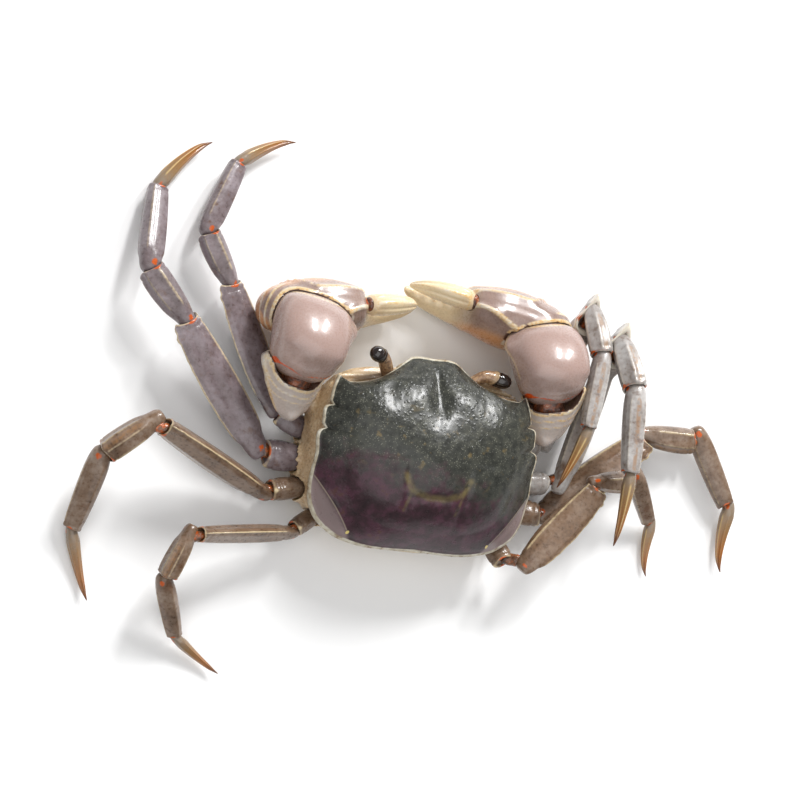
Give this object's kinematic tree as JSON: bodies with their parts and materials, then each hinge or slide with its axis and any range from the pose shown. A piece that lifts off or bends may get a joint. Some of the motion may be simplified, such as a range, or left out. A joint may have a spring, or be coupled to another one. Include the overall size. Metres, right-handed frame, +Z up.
{
  "type": "cooked crab",
  "caption": "Whole small dark crab lying on its belly, glossy speckled back shell, claws folded in front of the face, jointed legs swept forwards.",
  "frame": {"origin": "on the floor under the middle of the back shell, on the flat belly", "axes": "+Z up; the crab's face looks towards -Y; its left side is +X"},
  "size_m": [0.1119, 0.084, 0.0188],
  "materials": {
    "shell": "wet gloss",
    "flank": "satin, wet",
    "claw": "wet gloss",
    "leg": "wet gloss",
    "eye": "gloss"
  },
  "bodies": {
    "root": {"back_shell": "shell", "body": "flank", "claw_left_arm": "claw", "claw_left_finger": "claw", "claw_left_knuckle": "claw", "claw_left_palm": "claw", "claw_right_arm": "claw", "claw_right_finger": "claw", "claw_right_knuckle": "claw", "claw_right_palm": "claw", "eye_left": "eye", "eye_right": "eye", "leg_left_1_carpus": "leg", "leg_left_1_dactyl": "leg", "leg_left_1_hip": "leg", "leg_left_1_merus": "leg", "leg_left_1_propodus": "leg", "leg_left_2_carpus": "leg", "leg_left_2_dactyl": "leg", "leg_left_2_hip": "leg", "leg_left_2_merus": "leg", "leg_left_2_propodus": "leg", "leg_left_3_carpus": "leg", "leg_left_3_dactyl": "leg", "leg_left_3_hip": "leg", "leg_left_3_merus": "leg", "leg_left_3_propodus": "leg", "leg_left_4_carpus": "leg", "leg_left_4_dactyl": "leg", "leg_left_4_hip": "leg", "leg_left_4_merus": "leg", "leg_left_4_propodus": "leg", "leg_right_1_carpus": "leg", "leg_right_1_dactyl": "leg", "leg_right_1_hip": "leg", "leg_right_1_merus": "leg", "leg_right_1_propodus": "leg", "leg_right_2_carpus": "leg", "leg_right_2_dactyl": "leg", "leg_right_2_hip": "leg", "leg_right_2_merus": "leg", "leg_right_2_propodus": "leg", "leg_right_3_carpus": "leg", "leg_right_3_dactyl": "leg", "leg_right_3_hip": "leg", "leg_right_3_merus": "leg", "leg_right_3_propodus": "leg", "leg_right_4_carpus": "leg", "leg_right_4_dactyl": "leg", "leg_right_4_hip": "leg", "leg_right_4_merus": "leg", "leg_right_4_propodus": "leg", "mouth_plate_left": "flank", "mouth_plate_right": "flank", "tail_flap": "flank"}
  },
  "joints": []
}
